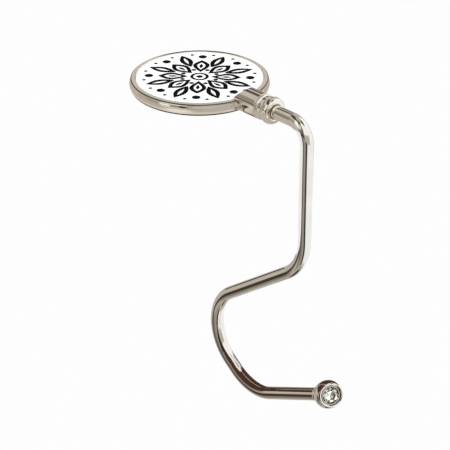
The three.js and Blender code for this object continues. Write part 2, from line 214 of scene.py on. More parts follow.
class StageSettings(bpy.types.PropertyGroup):
    """Camera, floor, table and curved card"""

    camera_distance: length("Camera distance", "From the camera to the middle of the rim", 533)
    camera_turn: slant("Camera turn", "How far the camera stands round from the hook's plane", 41.985)
    camera_rise: slant("Camera rise", "How far the camera looks down", 27.996)
    floor_drop: length("Floor drop", "How far the floor lies below the table's top", 900)
    table_edge: length("Table edge", "From the disc's middle to the table's edge", 38)
    table_reach: length("Table reach", "How far the table's top reaches", 1500)
    underside_reach: length("Underside reach", "How far the table's underside reaches", 760)
    card_radius: length("Card radius", "From the disc's middle to the curved card", 60)
    card_height: length("Card height", "Height of the curved card", 10)
    card_start: slant("Card start", "Turn at which the curved card begins", -142)
    card_sweep: slant("Card sweep", "Sweep of the curved card", 84)


def rounded(corners, steps=6):
    """Outline through (radius, height, rounding) corners, with an arc at each rounded one

    A point close to each end of an arc keeps the shading of the flat beside it flat
    """
    outline = []
    for place, (radius, height, rounding) in enumerate(corners):
        corner = Vector((radius, height))
        if not rounding:
            outline.append(corner)
            continue
        before = (Vector(corners[place - 1][:2]) - corner).normalized()
        after = (Vector(corners[(place + 1) % len(corners)][:2]) - corner).normalized()
        half = before.angle(after) / 2
        centre = corner + (before + after).normalized() * rounding / math.sin(half)
        reach = rounding / math.tan(half)
        first = corner + before * reach - centre
        last = corner + after * reach - centre
        sweep = first.angle_signed(last)
        outline.append(centre + first + before * GUARD)
        outline += [centre + Matrix.Rotation(-sweep * step / steps, 2) @ first for step in range(steps + 1)]
        outline.append(centre + last + after * GUARD)
    return outline


def turned(outline, sides, closed=False):
    """A skin turned about Z from an outline of (radius, height) points"""
    skin = bmesh.new()
    points = [skin.verts.new((radius, 0, height)) for radius, height in outline]
    pairs = list(zip(points, points[1:]))
    if closed:
        pairs.append((points[-1], points[0]))
    lines = [skin.edges.new(pair) for pair in pairs]
    bmesh.ops.spin(
        skin, geom=points + lines, cent=ORIGIN, axis=UP, dvec=ORIGIN, angle=FULL_TURN, steps=sides,
        use_merge=True,
    )
    bmesh.ops.remove_doubles(skin, verts=skin.verts, dist=WELD)
    bmesh.ops.recalc_face_normals(skin, faces=skin.faces)
    return skin


def arc(centre, sizes, turns, steps):
    """Points along an ellipse's arc from the first turn to the last"""
    first, last = turns
    along = [first + (last - first) * step / steps for step in range(steps + 1)]
    return [(centre[0] + sizes[0] * math.cos(turn), centre[1] + sizes[1] * math.sin(turn)) for turn in along]


def joined(skins):
    """Several skins as one"""
    whole = skins[0]
    for skin in skins[1:]:
        carrier = bpy.data.meshes.new("carrier")
        skin.to_mesh(carrier)
        skin.free()
        whole.from_mesh(carrier)
        bpy.data.meshes.remove(carrier)
    return whole


def placed(context, skin, name, material):
    """The skin as an object of one material"""
    mesh = bpy.data.meshes.new(name)
    skin.to_mesh(mesh)
    skin.free()
    mesh.materials.append(material)
    thing = bpy.data.objects.new(name, mesh)
    context.collection.objects.link(thing)
    return thing


def add_piece(context, skin, name, body, slot, material, *nodes, place=None, crease=32):
    """Makes the skin a piece of the hanger that rides on a body and stands for the CAD nodes"""
    if place:
        bmesh.ops.transform(skin, matrix=place, verts=skin.verts)
    limit = math.radians(crease)
    for face in skin.faces:
        face.smooth = True
    for edge in skin.edges:
        edge.smooth = edge.calc_face_angle(0) < limit
    piece = placed(context, skin, name, material)
    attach(piece, body)
    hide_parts(*nodes)


def add_plated(context, skin, name, body, node, place=None):
    """Adds a piece in bright nickel"""
    material = nickel_plate(context.scene.bag_hanger_finishes)
    add_piece(context, skin, name, body, "nickel", material, node, place=place)


def neck_height(rest):
    """Height of the neck's axis above the table"""
    return rest.pad_proud + rest.disc_height - rest.neck_drop


def along_neck(rest):
    """Turns a skin that was made about Z to lie along the neck"""
    return Matrix.Translation((0, 0, neck_height(rest))) @ Matrix.Rotation(QUARTER_TURN, 4, "Y")


def eased(share):
    """Goes smoothly from 0 to 1, and holds past both"""
    share = min(max(share, 0), 1)
    return share * share * (3 - 2 * share)


def opaque(colour, share=1.0):
    """The colour at a share of its brightness, with nothing seen through it"""
    return (*(part * share for part in colour), 1)


class Nodes:
    """Adds shader nodes to one material or world and wires them up"""

    def __init__(self, owner, output="ShaderNodeOutputMaterial"):
        owner.use_nodes = True
        self.owner = owner
        self.tree = owner.node_tree
        self.tree.nodes.clear()
        self.output = self.add(output)

    def add(self, kind, **settings):
        node = self.tree.nodes.new(kind)
        for key, value in settings.items():
            setattr(node, key, value)
        return node

    def feed(self, node, **inputs):
        """Sets or links inputs, each by its name with _ for a space, or by an i and its number"""
        for key, value in inputs.items():
            numbered = key[0] == "i" and key[1:].isdigit()
            socket = node.inputs[int(key[1:]) if numbered else key.replace("_", " ")]
            if isinstance(value, bpy.types.NodeSocket):
                self.tree.links.new(value, socket)
            else:
                socket.default_value = value
        return node

    def maths(self, operation, first, second=0.0, third=0.0, clamp=False):
        node = self.add("ShaderNodeMath", operation=operation, use_clamp=clamp)
        return self.feed(node, i0=first, i1=second, i2=third).outputs[0]

    def product(self, first, *others):
        for other in others:
            first = self.maths("MULTIPLY", first, other)
        return first

    def diagonal(self, first, second):
        """The diagonal of a rectangle with these sides"""
        squares = self.maths("ADD", self.product(first, first), self.product(second, second))
        return self.maths("SQRT", squares)

    def parts(self, vector):
        """The three numbers of a vector"""
        return self.feed(self.add("ShaderNodeSeparateXYZ"), Vector=vector).outputs

    def places(self):
        """Places on the object, which stay with it as it moves"""
        return self.add("ShaderNodeTexCoord").outputs["Object"]

    def distance(self, spot):
        """How far each place on the object is from a spot"""
        node = self.add("ShaderNodeVectorMath", operation="DISTANCE")
        return self.feed(node, i0=self.places(), i1=spot).outputs["Value"]

    def noise(self, scale, detail=2.0):
        node = self.feed(self.add("ShaderNodeTexNoise"), Vector=self.places(), Scale=scale, Detail=detail)
        return node.outputs["Fac"]

    def ramp(self, value, low, high, start=0.0, end=1.0, course="LINEAR"):
        """Maps a value from start and end to low and high, and holds it there"""
        node = self.add("ShaderNodeMapRange", interpolation_type=course)
        self.feed(node, Value=value, From_Min=start, From_Max=end, To_Min=low, To_Max=high)
        return node.outputs["Result"]

    def soft(self, value, low, high, start, end):
        """The same with a smooth course"""
        return self.ramp(value, low, high, start, end, "SMOOTHSTEP")

    def blend(self, share, first, second):
        node = self.add("ShaderNodeMix", data_type="RGBA")
        return self.feed(node, i0=share, i6=first, i7=second).outputs[2]

    def mottled(self, share, colour, change):
        """The colour, changed in brightness where the share is high"""
        return self.blend(share, opaque(colour), opaque(colour, change))

    def bump(self, height, strength, distance):
        node = self.add("ShaderNodeBump")
        return self.feed(node, Height=height, Strength=strength, Distance=distance).outputs["Normal"]

    def show(self, shader):
        """Wires the shader to the output"""
        self.feed(self.output, Surface=shader.outputs[0])
        return self.owner

    def surface(self, **inputs):
        """Shows the main shader"""
        return self.show(self.feed(self.add("ShaderNodeBsdfPrincipled"), **inputs))

    def either(self, share, first, second):
        """Shows the first shader, or the second where the share is 1"""
        mix = self.add("ShaderNodeMixShader")
        return self.show(self.feed(mix, Fac=share, i1=first.outputs[0], i2=second.outputs[0]))


def finish(name):
    """Shader nodes of a material, which pieces of one finish share"""
    return Nodes(bpy.data.materials.get(name) or bpy.data.materials.new(name))


def nickel_plate(finishes, name="Nickel plate", low=0.045, high=0.085, shade_line=None):
    """Bright plate with faint cloudiness, between a low and a high roughness

    The last argument gives the radius and the width of a dark ring of painted shade, and the height that it
    starts at
    """
    nodes = finish(name)
    tone = nodes.mottled(nodes.ramp(nodes.noise(180, 3), 0, 1, 0.35, 0.65), finishes.nickel, 0.94)
    if shade_line:
        radius, width, height = shade_line
        x, y, z = nodes.parts(nodes.places())
        off = nodes.maths("ABSOLUTE", nodes.maths("SUBTRACT", nodes.diagonal(x, y), radius))
        ring = nodes.product(
            nodes.soft(off, 1, 0, width * 0.35, width * 0.65),
            nodes.ramp(z, 0, 1, height, height + width * 0.2),
            nodes.ramp(z, 1, 0, height + width * 1.4, height + width * 1.6),
        )
        # Painted shade: the ring darkens the plate to a dark line
        tone = nodes.blend(ring, tone, opaque(finishes.nickel, 0.16))
    return nodes.surface(
        Base_Color=tone,
        Metallic=1.0,
        Roughness=nodes.ramp(nodes.noise(900), low, high, 0.3, 0.7),
        Normal=nodes.bump(nodes.noise(700), 0.06, 0.02 * MM),
    )


def black_rubber(finishes):
    """Matt moulded rubber with a fine grain"""
    nodes = finish("Grip rubber")
    dust = nodes.noise(260, 4)
    return nodes.surface(
        Base_Color=nodes.mottled(nodes.ramp(dust, 0, 1, 0.45, 0.7), finishes.rubber, 1.8),
        Roughness=nodes.ramp(dust, 0.72, 0.9, 0.3, 0.7),
        Normal=nodes.bump(nodes.noise(4200, 3), 0.35, 0.06 * MM),
    )


def clear_resin():
    """Doming resin, clear and glossy, that lets light through to the print under it"""
    nodes = finish("Doming resin")
    resin = nodes.feed(
        nodes.add("ShaderNodeBsdfPrincipled"),
        Base_Color=(1, 1, 1, 1),
        Roughness=nodes.ramp(nodes.noise(300), 0.0, 0.012),
        IOR=1.5,
        Transmission_Weight=1.0,
    )
    path = nodes.add("ShaderNodeLightPath").outputs
    light = nodes.maths("MAXIMUM", path["Is Shadow Ray"], path["Is Diffuse Ray"])
    return nodes.either(light, resin, nodes.add("ShaderNodeBsdfTransparent"))


def cut_glass():
    """Foil-backed cut glass"""
    nodes = finish("Cut glass")
    return nodes.surface(
        Base_Color=(0.82, 0.82, 0.75, 1),
        Roughness=nodes.ramp(nodes.noise(900), 0.0, 0.01),
        IOR=1.6,
        Transmission_Weight=1.0,
    )


def adhesive(finishes):
    """Cloudy double-sided film"""
    nodes = finish("Adhesive film")
    return nodes.surface(Base_Color=nodes.mottled(nodes.noise(500, 3), finishes.film, 0.88), Roughness=0.6)


def natural_nylon(finishes):
    """Undyed nylon with a fine grain"""
    nodes = finish("Natural nylon")
    return nodes.surface(
        Base_Color=nodes.mottled(nodes.noise(350), finishes.nylon, 0.93),
        Roughness=0.42,
        Normal=nodes.bump(nodes.noise(2500), 0.2, 0.02 * MM),
    )


def spring_steel(finishes):
    """Bare steel, a little duller in places"""
    nodes = finish("Spring steel")
    return nodes.surface(
        Base_Color=nodes.mottled(nodes.noise(800), finishes.steel, 0.85),
        Metallic=1.0,
        Roughness=nodes.ramp(nodes.noise(1500), 0.25, 0.45),
    )


def printed_face(finishes):
    """White ground with a rosette of petals, leaves and dots in black, all sized in millimetres"""
    nodes = finish("Printed face")
    x, y, _ = nodes.parts(nodes.places())
    radius = nodes.maths("DIVIDE", nodes.diagonal(x, y), MM)
    angle = nodes.maths("ARCTAN2", y, x)
    blur = 0.03

    def folded(count, turn=0.0):
        """Places along and across the nearest of some evenly spaced spokes"""
        pitch = FULL_TURN / count
        shifted = nodes.maths("ADD", angle, turn * pitch + FULL_TURN + pitch / 2)
        nearest = nodes.maths("SUBTRACT", nodes.maths("MODULO", shifted, pitch), pitch / 2)
        along = nodes.product(radius, nodes.maths("COSINE", nearest))
        across = nodes.maths("ABSOLUTE", nodes.product(radius, nodes.maths("SINE", nearest)))
        return along, across

    def leaf(spokes, start, end, width, belly=1.0):
        """Distance outside of a pointed leaf along each spoke"""
        along, across = spokes
        share = nodes.maths("DIVIDE", nodes.maths("SUBTRACT", along, start), end - start, clamp=True)
        bow = nodes.maths("SINE", nodes.product(nodes.maths("POWER", share, belly), math.pi))
        half = nodes.maths("SUBTRACT", nodes.product(bow, width), 2 * blur)
        return nodes.maths("SUBTRACT", across, half)

    def dot(spokes, distance, size):
        """Distance outside of a dot on each spoke"""
        along, across = spokes
        away = nodes.diagonal(nodes.maths("SUBTRACT", along, distance), across)
        return nodes.maths("SUBTRACT", away, size)

    main, between, sixteenth = folded(8), folded(8, 0.5), folded(16, 0.5)
    shapes = [
        (leaf(main, 3.0, 12.2, 2.5, 1.2), 1),
        (leaf(main, 4.9, 10.4, 1.25, 1.25), 0),
        (leaf(main, 5.8, 9.4, 0.6, 1.2), 1),
        (leaf(between, 7.4, 16.6, 1.9), 1),
        (leaf(between, 9.6, 14.6, 0.5), 0),
        (dot(main, 14.7, 1.25), 1),
        (dot(sixteenth, 16.2, 0.55), 1),
        (dot(between, 5.2, 0.7), 1),
        (nodes.maths("SUBTRACT", radius, 2.7), 1),
        (nodes.maths("SUBTRACT", radius, 1.8), 0),
        (nodes.maths("SUBTRACT", radius, 0.95), 1),
    ]
    ink = 0.0
    for outside, dark in shapes:
        inside = nodes.ramp(outside, 1, 0, -blur, blur)
        if dark:
            ink = nodes.maths("MAXIMUM", inside, ink)
        else:
            ink = nodes.product(nodes.maths("SUBTRACT", 1.0, inside), ink)
    ground = nodes.mottled(nodes.noise(120, 3), finishes.paper, 0.985)
    colour = nodes.blend(ink, ground, opaque(finishes.ink))
    return nodes.surface(Base_Color=colour, Roughness=0.6, Specular_IOR_Level=0.0)


class BAGHANGER_OT_tray(bpy.types.Operator):
    """Cast tray with its rim, its recesses and the neck that is cast with it"""

    bl_idname = "bag_hanger.tray"
    bl_label = "Tray"

    def execute(self, context):
        rest = context.scene.bag_hanger_rest
        low = rest.pad_proud
        top = low + rest.disc_height
        rim = top - rest.rim_slope
        inner = rest.disc_radius - rest.rim_width
        foot = rest.disc_radius - rest.foot_width
        corners = [
            (0, low + rest.pad_depth, 0),
            (foot, low + rest.pad_depth, SMALL_ROUND),
            (foot, low, rest.edge_round),
            (rest.disc_radius - rest.foot_inset, low, rest.foot_round),
        ]
        wall_low, wall_high = low + rest.wall_start, rim - rest.rim_round
        steps = 14
        for step in range(steps):
            share = step / steps
            swell = rest.side_swell * math.sin(math.pi * share)
            corners.append((rest.disc_radius + swell, wall_low + (wall_high - wall_low) * share, 0))
        corners += [
            (rest.disc_radius, rim, rest.rim_round),
            (inner, top, rest.edge_round),
            (inner, top - rest.face_depth, TINY_ROUND),
            (0, top - rest.face_depth, 0),
        ]
        disc = turned(rounded(corners), 224)
        # Painted shade in a thin dark ring just under the rim's outer edge
        shade_line = (rest.disc_radius - rest.shade_line_inset, rest.shade_line_width, rim - rest.rim_round * 0.8)
        casting = nickel_plate(context.scene.bag_hanger_finishes, "Plated casting", 0.06, 0.10, shade_line)
        skin = joined([disc, self.neck(rest, top, inner)])
        add_piece(context, skin, "tray_casting", "rest", "nickel", casting, "disc_tray")
        return {"FINISHED"}

    def neck(self, rest, top, inner):
        """The neck's inner end leans out from the recess, and its root spreads into the side wall"""
        axis = neck_height(rest)
        reach = rest.disc_radius + rest.boss_length
        fillet = rest.boss_fillet
        skin = turned(self.outline(rest, inner, reach), 128)
        bmesh.ops.transform(skin, matrix=along_neck(rest), verts=skin.verts)
        wall = rest.disc_radius + rest.side_swell * 0.6
        for vertex in skin.verts:
            x, y, z = vertex.co
            spread = math.hypot(y, z - axis)
            if spread <= rest.bore_radius + 0.02 * MM and x >= inner + 0.01 * MM:
                continue
            lean = inner + (rest.boss_lean * (z - top) if z > top else min(top - z, rest.boss_sink))
            end = math.sqrt(max(lean * lean - y * y, 0))
            x = end + (x - inner) / (reach - inner) * (reach - end)
            vertex.co.x = x
            fade = eased((top - 0.2 * MM - z) / MM) * eased((z - rest.pad_proud - 0.1 * MM) / (0.9 * MM))
            away = x - math.sqrt(max(wall * wall - y * y, 0))
            if fade and spread > rest.boss_radius * 0.9 and away < fillet:
                swell = fillet - math.sqrt(fillet ** 2 - min(fillet - away, fillet) ** 2)
                grow = 1 + fade * swell / spread
                vertex.co.y *= grow
                vertex.co.z = axis + (z - axis) * grow
        return skin

    def outline(self, rest, inner, reach):
        """Outline of the neck from its inner end's middle, along the outside and into the bore

        Its rings lie closer together where the neck meets the rim and the side wall
        """
        cap_rings = 12
        points = [(rest.boss_radius * step / cap_rings, inner) for step in range(cap_rings)]
        shares = [step / 60 for step in range(26)] + [0.46, 0.52, 0.6, 0.7, 0.8, 0.9]
        points += [(rest.boss_radius, inner + share * (reach - inner)) for share in shares]
        return points + rounded([
            (rest.boss_radius, reach - 2 * rest.boss_edge, 0),
            (rest.boss_radius, reach, rest.boss_edge),
            (rest.bore_radius, reach, 0),
            (rest.bore_radius, reach - rest.bore_depth, 0),
            (0, reach - rest.bore_depth, 0),
        ])[1:]


class BAGHANGER_OT_face(bpy.types.Operator):
    """Printed insert and the clear resin that is domed over it"""

    bl_idname = "bag_hanger.face"
    bl_label = "Face"

    def execute(self, context):
        rest = context.scene.bag_hanger_rest
        radius = rest.disc_radius - rest.rim_width - rest.layer_gap
        low = rest.pad_proud + rest.disc_height - rest.face_depth + rest.film
        high = low + rest.insert
        insert = turned([(0, low), (radius, low), (radius, high), (0, high)], 192)
        face = printed_face(context.scene.bag_hanger_finishes)
        add_piece(context, insert, "picture_insert", "rest", "print", face, "printed_insert")
        edge = high + rest.dome_edge
        foot = high - 0.02 * MM
        crown = [(0, foot), (radius, foot)]
        shoulder_steps, rings, shoulder_rise = 14, 10, 0.9
        for step in range(shoulder_steps + 1):
            share = step / shoulder_steps
            rise = shoulder_rise * math.sin(QUARTER_TURN * share)
            crown.append((radius - rest.dome_shoulder * share, edge + rest.dome_crown * rise))
        for ring in range(1, rings + 1):
            share = 0.94 * (1 - ring / rings)
            rise = 1 - (1 - shoulder_rise) * share ** 2
            crown.append((radius * share, edge + rest.dome_crown * rise))
        add_piece(context, turned(crown, 192), "resin_dome", "rest", "resin", clear_resin(), "clear_dome")
        return {"FINISHED"}


class BAGHANGER_OT_pad(bpy.types.Operator):
    """Rubber pad with ring grooves under the disc"""

    bl_idname = "bag_hanger.pad"
    bl_label = "Grip pad"

    def execute(self, context):
        rest = context.scene.bag_hanger_rest
        radius = rest.disc_radius - rest.foot_width - rest.pad_gap
        top = rest.pad_proud + rest.pad_depth - rest.film
        corners = [(0, 0, 0)]
        inner = rest.core_radius
        while inner + rest.groove_pitch < radius:
            outer = inner + rest.groove_width
            groove = ((inner, 0), (inner, rest.groove_depth), (outer, rest.groove_depth), (outer, 0))
            corners += [(*corner, SMALL_ROUND) for corner in groove]
            inner += rest.groove_pitch
        corners += [(radius, 0, rest.pad_round), (radius, top, SMALL_ROUND), (0, top, 0)]
        pad = turned(rounded(corners, 4), 160)
        rubber = black_rubber(context.scene.bag_hanger_finishes)
        add_piece(context, pad, "rubber_pad", "rest", "rubber", rubber, "grip_pad")
        return {"FINISHED"}


class BAGHANGER_OT_collar(bpy.types.Operator):
    """Bead ring, pressed sleeve and rounded nose at the neck's end"""

    bl_idname = "bag_hanger.collar"
    bl_label = "Collar"

    def execute(self, context):
        rest = context.scene.bag_hanger_rest
        collar = context.scene.bag_hanger_collar
        mouth = context.scene.bag_hanger_hook.wire_radius + collar.mouth_gap
        start = rest.disc_radius + rest.boss_length
        band = start + collar.ring_length
        nose = band + collar.sleeve_length
        pieces = (
            ("bead_ring", "collar_ring", self.ring(rest, collar, start, band)),
            ("plain_sleeve", "collar_sleeve", self.sleeve(rest, collar, start, band, nose)),
            ("nose_bead", "collar_nose", self.nose(rest, collar, nose, mouth)),
        )
        for name, node, outline in pieces:
            skin = turned(outline, 112, closed=True)
            add_plated(context, skin, name, "rest", node, place=along_neck(rest))
        return {"FINISHED"}

    def ring(self, rest, collar, start, end):
        """The bead ring swells between two valleys"""
        valley = collar.ring_radius - collar.groove
        outline = [(rest.bore_radius, start)]
        steps = 16
        for step in range(steps + 1):
            share = step / steps
            swell = collar.groove * math.sin(math.pi * share)
            outline.append((valley + swell, start + (end - start) * share))
        return [*outline, (rest.bore_radius, end)]

    def sleeve(self, rest, collar, start, band, nose):
        """The plain band, with the spigots that are pressed into the neck and the nose"""
        spigot = rest.bore_radius - collar.press_gap
        rear, front = start - collar.insertion, nose + collar.front_length
        return rounded([
            (collar.sleeve_bore, rear, 0),
            (spigot, rear, SMALL_ROUND),
            (spigot, band, 0),
            (collar.sleeve_radius, band, collar.sleeve_bevel),
            (collar.sleeve_radius, nose - collar.sleeve_bevel, collar.sleeve_bevel),
            (collar.sleeve_radius - collar.groove, nose, 0),
            (spigot, nose, 0),
            (spigot, front, SMALL_ROUND),
            (collar.sleeve_bore, front, 0),
        ])

    def nose(self, rest, collar, start, mouth):
        """The nose is round in front and behind, and its mouth has a soft edge"""
        throat = collar.sleeve_radius - collar.groove
        widest, end = start + collar.nose_rear, start + collar.nose_length
        rear = (collar.nose_radius - throat, collar.nose_rear)
        front = (collar.nose_radius - collar.nose_lip, collar.nose_length - collar.nose_rear)
        return [
            (rest.bore_radius, start),
            *arc((throat, widest), rear, (-QUARTER_TURN, 0), 12),
            *arc((collar.nose_lip, widest), front, (0, QUARTER_TURN), 16)[1:],
            *[(mouth + aside * MM, end - back * MM) for aside, back in MOUTH_EDGE],
            (mouth, end - collar.nose_wall),
            (rest.bore_radius, end - collar.nose_wall),
        ]


class BAGHANGER_OT_wire(bpy.types.Operator):
    """The hook's wire, bent from one straight length"""

    bl_idname = "bag_hanger.wire"
    bl_label = "Wire"

    def execute(self, context):
        hook = context.scene.bag_hanger_hook
        self.skin = bmesh.new()
        self.middle = Vector((hook.wire_start, 0, neck_height(context.scene.bag_hanger_rest)))
        self.heading = 0.0
        place = Matrix.Translation(self.middle) @ Matrix.Rotation(QUARTER_TURN, 4, "Y")
        bmesh.ops.create_circle(
            self.skin, cap_ends=True, segments=56, radius=hook.wire_radius, matrix=place
        )
        self.lead = list(self.skin.edges)
        self.groove(hook)
        for amount, heading in wire_sheet(context.scene):
            if heading is None:
                self.straight(amount)
            else:
                self.bend(amount, heading)
        bmesh.ops.holes_fill(self.skin, edges=self.lead)
        bmesh.ops.recalc_face_normals(self.skin, faces=self.skin.faces)
        add_plated(context, self.skin, "bent_wire", "hook", "hook_wire")
        return {"FINISHED"}

    def pulled(self, move, stretch=None):
        """Carries the leading ring on to its next place, and stretches it there"""
        made = bmesh.ops.extrude_edge_only(self.skin, edges=self.lead)["geom"]
        verts = [part for part in made if isinstance(part, bmesh.types.BMVert)]
        edges = [part for part in made if isinstance(part, bmesh.types.BMEdge)]
        self.lead = [edge for edge in edges if all(end in verts for end in edge.verts)]
        self.middle = self.middle + move
        bmesh.ops.translate(self.skin, vec=move, verts=verts)
        if stretch:
            bmesh.ops.scale(self.skin, vec=stretch, space=Matrix.Translation(-self.middle), verts=verts)

    def groove(self, hook):
        """Square groove for the clip, near the wire's inner end"""
        slim = (hook.wire_radius - hook.groove_depth) / hook.wire_radius
        self.pulled(Vector((hook.groove_start, 0, 0)))
        self.pulled(ORIGIN, Vector((1, slim, slim)))
        self.pulled(Vector((hook.groove_length, 0, 0)))
        self.pulled(ORIGIN, Vector((1, 1 / slim, 1 / slim)))

    def straight(self, amount):
        """Carries the wire on along its heading"""
        steps = 4
        for _ in range(steps):
            self.pulled(toward(self.heading) * amount / steps)

    def bend(self, radius, heading):
        """Bends the wire to a new heading"""
        turn = heading - self.heading
        centre, self.middle = bent(self.middle, self.heading, radius, heading)
        self.heading = heading
        made = bmesh.ops.spin(
            self.skin, geom=self.lead, cent=centre, axis=ACROSS, dvec=ORIGIN, angle=-turn,
            steps=max(12, math.ceil(abs(turn) / math.radians(2.5))), use_merge=False,
        )["geom_last"]
        self.lead = [part for part in made if isinstance(part, bmesh.types.BMEdge)]


def nose_end(scene):
    """How far the collar reaches from the disc's middle"""
    rest, collar = scene.bag_hanger_rest, scene.bag_hanger_collar
    neck_end = rest.disc_radius + rest.boss_length
    return neck_end + collar.ring_length + collar.sleeve_length + collar.nose_length


def toward(heading):
    """A step of one in the hook's plane"""
    return Vector((math.cos(heading), 0, math.sin(heading)))


def bent(middle, heading, radius, new_heading):
    """Centre of a bend, and where it takes the wire's middle"""
    centre = middle + toward(heading + QUARTER_TURN) * math.copysign(radius, new_heading - heading)
    return centre, centre + Matrix.Rotation(heading - new_heading, 3, "Y") @ (middle - centre)


def wire_sheet(scene):
    """The bending sheet: lengths of straights, and radii of bends with their new headings"""
    hook, ball = scene.bag_hanger_hook, scene.bag_hanger_ball
    grooved = hook.wire_start + hook.groove_start + hook.groove_length
    return [
        (nose_end(scene) + hook.exit_length - grooved, None),
        (hook.exit_bend, -QUARTER_TURN),
        (hook.drop, None),
        (hook.knee_bend, hook.slope_angle - math.pi),
        (hook.slope, None),
        (hook.loop_bend, -hook.return_angle),
        (hook.return_length, None),
        (hook.tip_bend, hook.tip_angle),
        (hook.tip - ball.seat_depth - ball.socket_wall - ball.socket_gap, None),
    ]


def ball_place(scene):
    """Places a shape at the middle of the ball and lays its Z along the tip"""
    hook = scene.bag_hanger_hook
    spot = Vector((nose_end(scene) + hook.exit_length, 0, neck_height(scene.bag_hanger_rest)))
    heading = 0.0
    for amount, new_heading in wire_sheet(scene)[1:-1]:
        if new_heading is None:
            spot = spot + toward(heading) * amount
        else:
            spot = bent(spot, heading, amount, new_heading)[1]
            heading = new_heading
    spot = spot + toward(heading) * hook.tip
    return Matrix.Translation(spot) @ Matrix.Rotation(QUARTER_TURN - hook.tip_angle, 4, "Y")


class BAGHANGER_OT_ball(bpy.types.Operator):
    """Ball end with its shank and the slanted seat for the stone"""

    bl_idname = "bag_hanger.ball"
    bl_label = "Ball end"

    def execute(self, context):
        ball = context.scene.bag_hanger_ball
        wire = context.scene.bag_hanger_hook.wire_radius
        skin = joined([self.body(ball), self.shank(ball, wire + ball.socket_gap)])
        add_plated(context, skin, "ball_tip", "hook", "ball_end", place=ball_place(context.scene))
        return {"FINISHED"}

    def body(self, ball):
        """The ball with its seat, which slants off the wire's line"""
        radius = ball.ball_radius
        rim_height = math.sqrt(radius ** 2 - ball.seat_rim ** 2)
        turns = (-QUARTER_TURN, math.acos(ball.seat_rim / radius))
        outline = arc((0, 0), (radius, radius), turns, 56)[:-1]
        outline += rounded([
            (*outline[-1], 0),
            (ball.seat_rim, rim_height, SMALL_ROUND),
            (ball.seat_radius, rim_height - ball.seat_dish, SMALL_ROUND),
            (ball.seat_radius, -ball.seat_depth, 0),
            (0, -ball.seat_depth, 0),
        ])[1:]
        skin = turned(outline, 112)
        bmesh.ops.transform(skin, matrix=Matrix.Rotation(ball.seat_tilt, 4, "X"), verts=skin.verts)
        return skin

    def shank(self, ball, inner):
        """The shank flares into the ball and is hollow for the wire"""
        end = -ball.ball_radius - ball.shank_length
        fillet = ball.shank_fillet
        spread = ball.shank_radius + fillet
        centre = -math.sqrt((ball.ball_radius + fillet) ** 2 - spread ** 2)
        touch = math.atan2(-centre, spread)
        return turned([
            (inner, end),
            *[(ball.shank_radius - aside * MM, end + back * MM) for aside, back in SHANK_EDGE],
            *arc((spread, centre), (fillet, fillet), (math.pi, math.pi - touch), 10),
            (ball.shank_radius, centre + ball.shank_sink),
            (inner, centre + ball.shank_sink),
        ], 96, closed=True)


class BAGHANGER_OT_stone(bpy.types.Operator):
    """Cut stone and the metal cup that holds it in the ball"""

    bl_idname = "bag_hanger.stone"
    bl_label = "Stone"

    def execute(self, context):
        ball = context.scene.bag_hanger_ball
        place = ball_place(context.scene) @ Matrix.Rotation(ball.seat_tilt, 4, "X")
        add_plated(context, self.cup(ball), "stone_cup", "hook", "stone_setting", place=place)
        add_piece(
            context, self.cut(ball), "cut_stone", "hook", "crystal", cut_glass(), "crystal_stone",
            place=place, crease=1,
        )
        return {"FINISHED"}

    def cup(self, ball):
        """The cup runs parallel to the stone's cone"""
        cone = ball.stone_depth / ball.stone_radius
        inner = ball.cup_radius - ball.cup_wall
        bottom = -ball.cup_drop - ball.cup_wall
        top = ball.stone_depth + ball.cup_lip
        return turned(rounded([
            (0, bottom, 0),
            (ball.cup_foot, bottom, 0),
            (ball.cup_radius, bottom + cone * (ball.cup_radius - ball.cup_foot), SMALL_ROUND),
            (ball.cup_radius, top, SMALL_ROUND),
            (inner, top, SMALL_ROUND),
            (inner, inner * cone - ball.cup_drop, TINY_ROUND),
            (0, -ball.cup_drop, 0),
        ]), 96)

    def cut(self, ball):
        """The stone has an eight-sided table, a ring of facets round it and a cone below"""
        facets = 8
        upper = ball.stone_depth + ball.girdle
        # Radius, height and turn of each ring, the turn as a share of a facet
        rings = (
            (ball.stone_radius, ball.stone_depth, 0.75),
            (ball.stone_radius, upper, 0.75),
            (ball.table_radius, upper + ball.crown, 0.25),
        )
        skin = bmesh.new()
        skin.verts.new(ORIGIN)
        for radius, height, share in rings:
            turn = Matrix.Rotation(FULL_TURN * share / facets, 4, "Z")
            place = Matrix.Translation((0, 0, height)) @ turn
            bmesh.ops.create_circle(skin, segments=facets, radius=radius, matrix=place)
        bmesh.ops.delete(skin, geom=list(skin.edges), context="EDGES_FACES")
        bmesh.ops.convex_hull(skin, input=list(skin.verts))
        verts, edges = list(skin.verts), list(skin.edges)
        bmesh.ops.dissolve_limit(skin, angle_limit=math.radians(1), verts=verts, edges=edges)
        bmesh.ops.recalc_face_normals(skin, faces=skin.faces)
        return skin


class BAGHANGER_OT_inner_parts(bpy.types.Operator):
    """Finishes for the films and the bearing pieces, which keep their CAD shapes"""

    bl_idname = "bag_hanger.inner_parts"
    bl_label = "Inner parts"

    def execute(self, context):
        finishes = context.scene.bag_hanger_finishes
        coats = {
            adhesive(finishes): ("insert_film", "pad_film"),
            natural_nylon(finishes): ("swivel_bush",),
            spring_steel(finishes): ("thrust_washer", "retaining_clip"),
        }
        for material, names in coats.items():
            for name in names:
                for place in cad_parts[name].material_slots:
                    place.material = material
        return {"FINISHED"}


